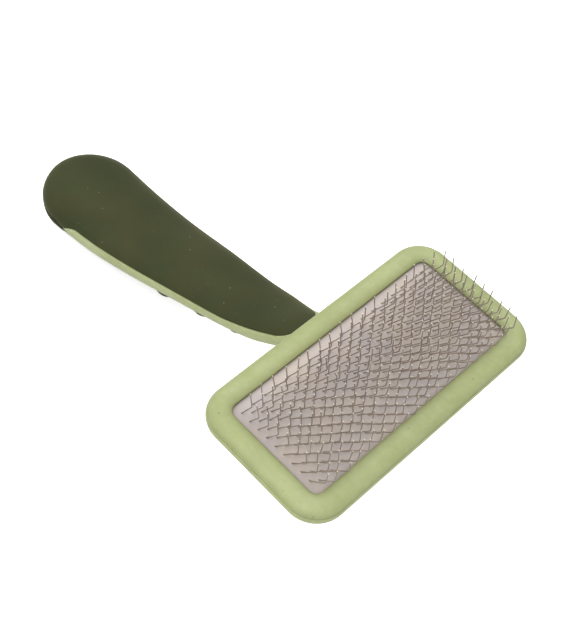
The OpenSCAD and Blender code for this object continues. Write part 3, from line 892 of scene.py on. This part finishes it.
def skin_faces(count, tip_out, tip_in):
    """Both sides of a skin of count rows, its edges, its start and its fan at the butt."""
    n = SKIN_STEPS
    wide = n + 1
    under = count * wide             # first point of the inner side
    faces = grid_faces(count, wide).tolist()
    faces += grid_faces(count, wide, base=under, flip=True).tolist()
    for j in range(count - 1):
        here, there = j * wide, (j + 1) * wide
        faces.append([here, there, under + there, under + here])
        faces.append([here + n, under + here + n, under + there + n, there + n])
    faces += [[i, under + i, under + i + 1, i + 1] for i in range(n)]
    last = (count - 1) * wide
    faces += [[last + i, last + i + 1, tip_out] for i in range(n)]
    faces += [[under + last + i, tip_in, under + last + i + 1] for i in range(n)]
    faces.append([last, tip_out, tip_in, under + last])
    faces.append([last + n, under + last + n, tip_in, tip_out])
    return faces


register(build_skin("grip_skin_face", start=29.35, side=0, edge=face_edge, bars=False),
         HEAD, "grip_face")
register(build_skin("grip_skin_back", start=44.35, side=180, edge=back_edge, bars=True),
         HEAD, "grip_back")


# ---- layout of the pins ----------------------------------------------------

ROWS, PINS_PER_ROW = 18, 18
PITCH_X, PITCH_Y = 2.035, 5.27
ROW_SHIFTS = (-0.9, 1.7)             # along Y, on alternate rows


def staple_row(row):
    """(x, y, y of the second leg) of a row's staples, each of them two pins."""
    x = (row - (ROWS - 1) / 2) * PITCH_X - 0.1
    y = -(PINS_PER_ROW - 1) / 2 * PITCH_Y + ROW_SHIFTS[row % 2]
    return [(x, y + 2 * k * PITCH_Y, y + (2 * k + 1) * PITCH_Y)
            for k in range(PINS_PER_ROW // 2)]


STAPLE_ROWS = [staple_row(row) for row in range(ROWS)]
FEET = np.array([(x, y) for row in STAPLE_ROWS for x, *legs in row for y in legs])


# ---- pieces: the cushioned pad ---------------------------------------------

WIRE_DROP = 0.225 * 1.15             # room for the staples' crowns under the cloth
CROWN_DROP = FACING_T + CLOTH_T + 0.14 + WIRE_DROP    # staple crowns below the pad's face


def crown(x, y):
    """Rise of the pad's face above its clamped edge."""
    u = np.minimum(1, np.abs(x) / OPEN_X)
    v = np.minimum(1, np.abs(y) / OPEN_Y)
    return CROWN * (1 - u * u) * (1 - v ** 3.2)


def sheet(step):
    """A grid over the pad's outline: rows along X whose width follows the rounded corners."""
    count_y = int(round(2 * PAD_Y / step))
    count_x = int(round(2 * PAD_X / step))
    ys = np.linspace(-PAD_Y, PAD_Y, count_y + 1)
    past = np.clip(np.abs(ys) - (PAD_Y - PAD_R), 0, PAD_R)
    half = PAD_X - PAD_R + np.sqrt(np.maximum(PAD_R * PAD_R - past * past, 0))
    x = half[:, None] * np.linspace(-1, 1, count_x + 1)[None, :]
    return x, np.repeat(ys[:, None], count_x + 1, 1)


def slab(name, x, y, top, low, mat):
    """A closed slab between two heights over a grid."""
    rows, cols = x.shape
    points = np.vstack([np.stack([x, y, z], -1).reshape(-1, 3) for z in (top, low)])
    under = rows * cols
    faces = grid_faces(rows, cols).tolist()
    faces += grid_faces(rows, cols, base=under, flip=True).tolist()
    rim = list(range(cols))
    rim += [j * cols + cols - 1 for j in range(1, rows)]
    rim += [(rows - 1) * cols + i for i in range(cols - 2, -1, -1)]
    rim += [j * cols for j in range(rows - 2, 0, -1)]
    for a, b in zip(rim, rim[1:] + rim[:1]):
        faces.append([b, a, under + a, under + b])
    return make_object(name, points, faces, [mat], smooth_angle=60)


def soft_noise(x, y, scale, seed):
    """Smooth seeded unevenness, about -1 to 1."""
    draw = np.random.default_rng(seed)
    total = np.zeros_like(x)
    for _ in range(7):
        angle, phase = draw.uniform(0, 2 * np.pi, 2)
        freq = draw.uniform(0.7, 1.5) / scale
        total += np.sin((x * np.cos(angle) + y * np.sin(angle)) * freq * 2 * np.pi + phase)
    return total / 3.2


def simulate_facing():
    """Cloth simulation of the facing, held at its edge and at every wire, pushed up between.

    Returns the grid's Y values and how far each of its points rises, or None.
    """
    to_sim = 0.01                    # from millimetres: the simulation is ten times life size
    frames, puff = 26, 0.20          # puff: rise between the wires
    x, y = sheet(1.06)
    start = np.stack([x, y, crown(x, y)], -1).reshape(-1, 3) * to_sim
    mesh = bpy.data.meshes.new("pad_sim")
    mesh.from_pydata(start.tolist(), [], grid_faces(*x.shape).tolist())
    obj = bpy.data.objects.new("pad_sim", mesh)
    bpy.context.scene.collection.objects.link(obj)

    flat = np.stack([x, y], -1).reshape(-1, 2)
    held = (np.abs(flat[:, 0]) > OPEN_X + 0.3) | (np.abs(flat[:, 1]) > OPEN_Y + 0.3)
    for foot in FEET:
        held[np.argmin(((flat - foot) ** 2).sum(1))] = True
    group = obj.vertex_groups.new(name="held")
    group.add(np.nonzero(held)[0].tolist(), 1.0, "REPLACE")

    cloth = obj.modifiers.new("cloth", "CLOTH")
    cfg = cloth.settings
    cfg.quality, cfg.mass = 5, 0.25
    cfg.tension_stiffness = cfg.compression_stiffness = 12
    cfg.shear_stiffness, cfg.bending_stiffness = 8, 0.4
    cfg.tension_damping = cfg.compression_damping = cfg.shear_damping = 12
    cfg.air_damping = 4
    cfg.vertex_group_mass = "held"
    cfg.effector_weights.gravity = 1.0
    cloth.collision_settings.use_collision = False
    cloth.collision_settings.use_self_collision = False
    cloth.point_cache.frame_start, cloth.point_cache.frame_end = 1, frames

    scene = bpy.context.scene
    old_gravity, old_frame = scene.gravity.copy(), scene.frame_current
    scene.gravity = (0, 0, 5.0)      # upward, for the foam's push
    for number in range(1, frames + 1):
        scene.frame_set(number)
    graph = bpy.context.evaluated_depsgraph_get()
    settled = np.zeros(start.size)
    obj.evaluated_get(graph).to_mesh().vertices.foreach_get("co", settled)
    rise = (settled.reshape(-1, 3) - start)[:, 2].reshape(x.shape) / to_sim
    scene.gravity = old_gravity
    scene.frame_set(old_frame)
    bpy.data.objects.remove(obj, do_unlink=True)
    most = float(np.percentile(rise, 98))
    # a simulation that blew up or never moved leaves the facing smooth
    if not np.isfinite(rise).all() or most <= 1e-6:
        return None
    return y[:, 0], np.clip(rise / most, -0.3, 1.15) * puff


def resample(sim_y, rise, y, cols):
    """The simulated rise on a grid with the Y values y and cols columns."""
    v = (y - sim_y[0]) / (sim_y[1] - sim_y[0])
    j = np.clip(v.astype(int), 0, len(rise) - 2)
    part_y = np.clip(v - j, 0, 1)[:, None]
    u = np.linspace(0, rise.shape[1] - 1, cols)
    i = np.clip(u.astype(int), 0, rise.shape[1] - 2)
    part_x = (u - i)[None, :]
    here, there = [rise[k][:, i] * (1 - part_x) + rise[k][:, i + 1] * part_x
                   for k in (j, j + 1)]
    return here * (1 - part_y) + there * part_y


def build_facing(simulated):
    x, y = sheet(0.52)
    base = EDGE_Z + crown(x, y)
    inside = ease(0.2, 2.2, np.minimum(OPEN_X - np.abs(x), OPEN_Y - np.abs(y)))
    near = np.full(x.shape, 9.0)     # distance to the nearest wire, where it is small
    for foot_x, foot_y in FEET:
        j0, j1 = np.searchsorted(y[:, 0], [foot_y - 2.4, foot_y + 2.4])
        near[j0:j1] = np.minimum(near[j0:j1], np.hypot(x[j0:j1] - foot_x, y[j0:j1] - foot_y))
    top = base.copy()
    if simulated is not None:
        top += resample(*simulated, y[:, 0], x.shape[1]) * inside
    top -= 0.16 * np.exp(-(near / 0.62) ** 2) * inside          # drawn down by the staple
    top += 0.05 * np.exp(-((near - 0.85) / 0.3) ** 2) * inside  # raised ring round the wire
    top += 0.035 * soft_noise(x, y, scale=9.0, seed=3) * inside
    facing = slab("pad_facing", x, y, top, base - (FACING_T - PLAY), PAD)
    # masks for the material, zero on the underside: painted highlight on the rim round each wire,
    # painted shade right at it
    masks = {"foot": np.exp(-((near - 0.62) / 0.32) ** 2), "pit_shade": np.exp(-(near / 0.40) ** 4)}
    for key, mask in masks.items():
        values = np.concatenate([mask.ravel(), np.zeros(mask.size)]).astype(np.float32)
        facing.data.attributes.new(key, "FLOAT", "POINT").data.foreach_set("value", values)
    return facing


def build_cloth():
    x, y = sheet(1.4)
    top = EDGE_Z + crown(x, y) - (FACING_T + 0.03)
    return slab("pad_backing_cloth", x, y, top, top - (CLOTH_T - PLAY), CLOTH)


def build_foam():
    x, y = sheet(1.5)
    x = x * (foam_hi[0] / PAD_X)
    y = y * (foam_hi[1] / PAD_Y)
    drop = CROWN_DROP + WIRE_DROP + 0.48
    top = EDGE_Z + crown(x, y) - drop - 0.02 * (1 + soft_noise(x, y, scale=3.0, seed=8))
    return slab("cushion_foam", x, y, top, np.full_like(top, FOAM_Z + 0.01), FOAM)


simulated_rise = simulate_facing()
register(build_facing(simulated_rise), BED, "facing_sheet")
register(build_cloth(), BED, "cloth_backing")
foam = build_foam()
register(foam, HEAD, "foam_cushion")
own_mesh(foam)


# ---- pieces: the staples, one row to a piece -------------------------------

KNEE_H, KNEE_LEAN = 7.5, 4.6         # height above the pad's face, and lean to +X
TIP_H, TIP_LEAN = 13.5, 3.4
KNEE_R, FOOT_R, BEND_STEPS = 1.7, 0.35, 6
FAN_X, FAN_Y, SKEW_Y = 7.5, 4.5, 7.3     # degrees: fan at the pad's edges, and tilt to +Y
WIRE_R, WIRE_SIDES = 0.21, 10
TIP_DISTANCES = (0, 0.05, 0.22, 0.42)    # of the rings that shape each cut end
TIP_SCALES = (0.76, 0.97)                # share of WIRE_R at the first two of them
# uneven wear: lean and knee height, shift along Y, then the tip's own lean and shift
JITTER = np.array([0.28, 0.14, 0.24, 0.30, 0.34])
rng = np.random.default_rng(20)


def pin_point(x, y, lean, height):
    """A point along a pin's lean and out from the pad's face; pins fan out with the crown."""
    a = math.radians(FAN_X * x / (ROWS / 2 * PITCH_X))
    b = math.radians(SKEW_Y + FAN_Y * y / OPEN_Y)
    z = EDGE_Z + float(crown(x, y))
    return np.array([x + lean * math.cos(a) + height * math.sin(a), y + height * math.sin(b),
                     z + height * math.cos(a) * math.cos(b) - lean * math.sin(a)])


def leg(x, y):
    """Tip, knee and foot of one leg, with a little unevenness from use."""
    lean, rise, shift, tip_lean, tip_shift = np.clip(rng.normal(0, 1, 5), -1.8, 1.8) * JITTER
    foot = pin_point(x, y, -CROWN_DROP * (KNEE_LEAN / KNEE_H), -CROWN_DROP)
    knee = pin_point(x, y, KNEE_LEAN + lean, KNEE_H + rise)
    knee[1] += shift
    tip = pin_point(x, y, TIP_LEAN + lean + tip_lean, TIP_H)
    tip[1] += shift + tip_shift
    sway_x = math.sin(0.16 * y + 0.11 * x + 0.8)
    sway_y = math.sin(0.12 * y - 0.19 * x + 2.1)
    knee += np.array([0.28 * sway_x, 0.24 * sway_y, 0.0])
    tip += np.array([0.46 * sway_x, 0.42 * sway_y, 0.0])
    return tip, knee, foot


def angle_between(u, w):
    return math.acos(np.clip(float(u @ w), -1, 1))


def bend_line(pts, radii):
    """A line through pts whose inner corners are rounded to radii."""
    line = [pts[0]]
    for before, corner, after, radius in zip(pts, pts[1:], pts[2:], radii):
        size_u, size_w = np.linalg.norm(before - corner), np.linalg.norm(after - corner)
        u, w = (before - corner) / size_u, (after - corner) / size_w
        half = angle_between(u, w) / 2
        reach = min(radius / math.tan(half), 0.45 * min(size_u, size_w))
        radius = reach * math.tan(half)
        centre = corner + (u + w) / np.linalg.norm(u + w) * radius / math.sin(half)
        first = (corner + u * reach - centre) / radius
        last = (corner + w * reach - centre) / radius
        turn = angle_between(first, last)
        for k in range(BEND_STEPS + 1):
            t = k / BEND_STEPS
            arm = first * math.sin((1 - t) * turn) + last * math.sin(t * turn)
            line.append(centre + radius * arm / math.sin(turn))
    line.append(pts[-1])
    return np.array(line)


def sweep(path, radii):
    """Rings of points round a path, turning as little as possible."""
    tangent = np.gradient(path, axis=0)
    tangent /= np.linalg.norm(tangent, axis=1)[:, None]
    normal = np.cross(tangent[0], [0.3, 1.0, 0.2])
    normal /= np.linalg.norm(normal)
    points = []
    for centre, ahead, radius in zip(path, tangent, radii):
        normal = normal - ahead * float(normal @ ahead)
        normal /= np.linalg.norm(normal)
        other = np.cross(ahead, normal)
        for k in range(WIRE_SIDES):
            a = 2 * math.pi * k / WIRE_SIDES
            points.append(centre + radius * (normal * math.cos(a) + other * math.sin(a)))
    return np.array(points)


def cut_end(end, following):
    """Centres of the rings at a wire's cut end."""
    step = following - end
    return [end + step * dist / np.linalg.norm(step) for dist in TIP_DISTANCES]


def staple_path(x, y_first, y_second):
    tip_a, knee_a, foot_a = leg(x, y_first)
    tip_b, knee_b, foot_b = leg(x, y_second)
    line = bend_line([tip_a, knee_a, foot_a, foot_b, knee_b, tip_b],
                     [KNEE_R, FOOT_R, FOOT_R, KNEE_R])
    return np.vstack([cut_end(line[0], line[1]), line[1:-1],
                      cut_end(line[-1], line[-2])[::-1]])


def build_staples(row, staples):
    points, faces, slots = [], [], []
    for k, staple in enumerate(staples):
        path = staple_path(*staple)
        count = len(path)
        scale = np.ones(count)
        scale[:2] = TIP_SCALES
        scale[-2:] = TIP_SCALES[::-1]
        points.append(sweep(path, WIRE_R * scale))
        base = k * count * WIRE_SIDES
        end = base + (count - 1) * WIRE_SIDES
        faces += grid_faces(count, WIRE_SIDES, base=base, wrap=True).tolist()
        faces.append(list(range(base, base + WIRE_SIDES))[::-1])
        faces.append(list(range(end, end + WIRE_SIDES)))
        # the pale tip material on the first two spans at each end, and on the end caps
        for span in range(count - 1):
            slots += [1 if span < 2 or span >= count - 3 else 0] * WIRE_SIDES
        slots += [1, 1]
    obj = make_object(f"staples_row_{row:02d}", np.vstack(points), faces, [STEEL, TIP],
                      smooth_angle=50)
    obj.data.polygons.foreach_set("material_index", slots)
    return obj


for row, staples in enumerate(STAPLE_ROWS, start=1):
    register(build_staples(row, staples), BED, f"staple_row_{row:02d}")


# ---- stage, lights and camera (metres) -------------------------------------

AIM = Vector((-0.045, 0.0, -0.005))      # the point the lights face
FLOOR_HALF, FLOOR_DROP = 4000, 0.0006    # half size in millimetres; metres below the brush
CAMERA_AT = (0.1022, -0.1879, 0.3550)
CAMERA_LENS, CAMERA_SENSOR = 66.2857143, 36


def floor_mat():
    """Near-white floor, lifted by a glow that only the camera sees."""
    n = Shader("floor")
    seen = n.node("ShaderNodeLightPath").outputs["Is Camera Ray"]
    col = n.spread(n.noise(scale=6, detail=2),
                   low=(0.93, 0.93, 0.93, 1), high=(0.95, 0.95, 0.95, 1))
    glow = 0.60
    n.set(Base_Color=col, Roughness=0.9, Specular_IOR_Level=0.1,
          Emission_Color=(1, 1, 1, 1), Emission_Strength=n.math("MULTIPLY", seen, glow))
    return n.mat


def build_floor():
    z = (cad_lo[2] - FLOOR_DROP) / MM
    corners = [[sx * FLOOR_HALF, sy * FLOOR_HALF, z]
               for sx, sy in ((-1, -1), (1, -1), (1, 1), (-1, 1))]
    return make_object("floor", corners, [[0, 1, 2, 3]], [floor_mat()])


def area(name, direction, dist, size, power, colour=(1, 1, 1)):
    """A round area light, out from AIM in a direction and facing back to it."""
    light = bpy.data.lights.new(name, "AREA")
    light.shape, light.size, light.energy, light.color = "DISK", size, power, colour
    obj = bpy.data.objects.new(name, light)
    away = Vector(direction).normalized()
    obj.location = AIM + away * dist
    obj.rotation_euler = away.to_track_quat("Z", "Y").to_euler()
    bpy.context.scene.collection.objects.link(obj)


def add_world():
    world = bpy.data.worlds.new("studio")
    bpy.context.scene.world = world
    world.use_nodes = True
    background = world.node_tree.nodes["Background"]
    background.inputs["Color"].default_value = (1.0, 1.0, 1.0, 1)
    background.inputs["Strength"].default_value = 0.52


def add_camera():
    right = Vector((0.687, 0.720, 0.097)).normalized()
    up = Vector((-0.643, 0.540, 0.544))
    up = (up - right * up.dot(right)).normalized()
    back = right.cross(up).normalized()
    cam = bpy.data.cameras.new("camera")
    cam.lens, cam.sensor_width, cam.sensor_fit = CAMERA_LENS, CAMERA_SENSOR, "AUTO"
    cam.clip_start, cam.clip_end = 0.01, 20
    obj = bpy.data.objects.new("camera", cam)
    placed = Matrix((right, up, back)).transposed().to_4x4()
    placed.translation = CAMERA_AT
    obj.matrix_world = placed
    bpy.context.scene.collection.objects.link(obj)
    bpy.context.scene.camera = obj


build_floor()
area("key", direction=(0.0, -0.40, 0.92), dist=1.0, size=0.7, power=4.7,
     colour=(1.0, 0.99, 0.965))
area("side", direction=(-0.75, -0.15, 0.65), dist=1.2, size=1.0, power=2.2)
area("fill", direction=(0.85, -0.10, 0.65), dist=1.5, size=1.2, power=2.2,
     colour=(0.97, 0.985, 1.0))
area("rear", direction=(-0.35, 0.45, 0.82), dist=0.8, size=0.6, power=2.0)
add_world()
add_camera()
bpy.context.scene.view_settings.view_transform = "Standard"
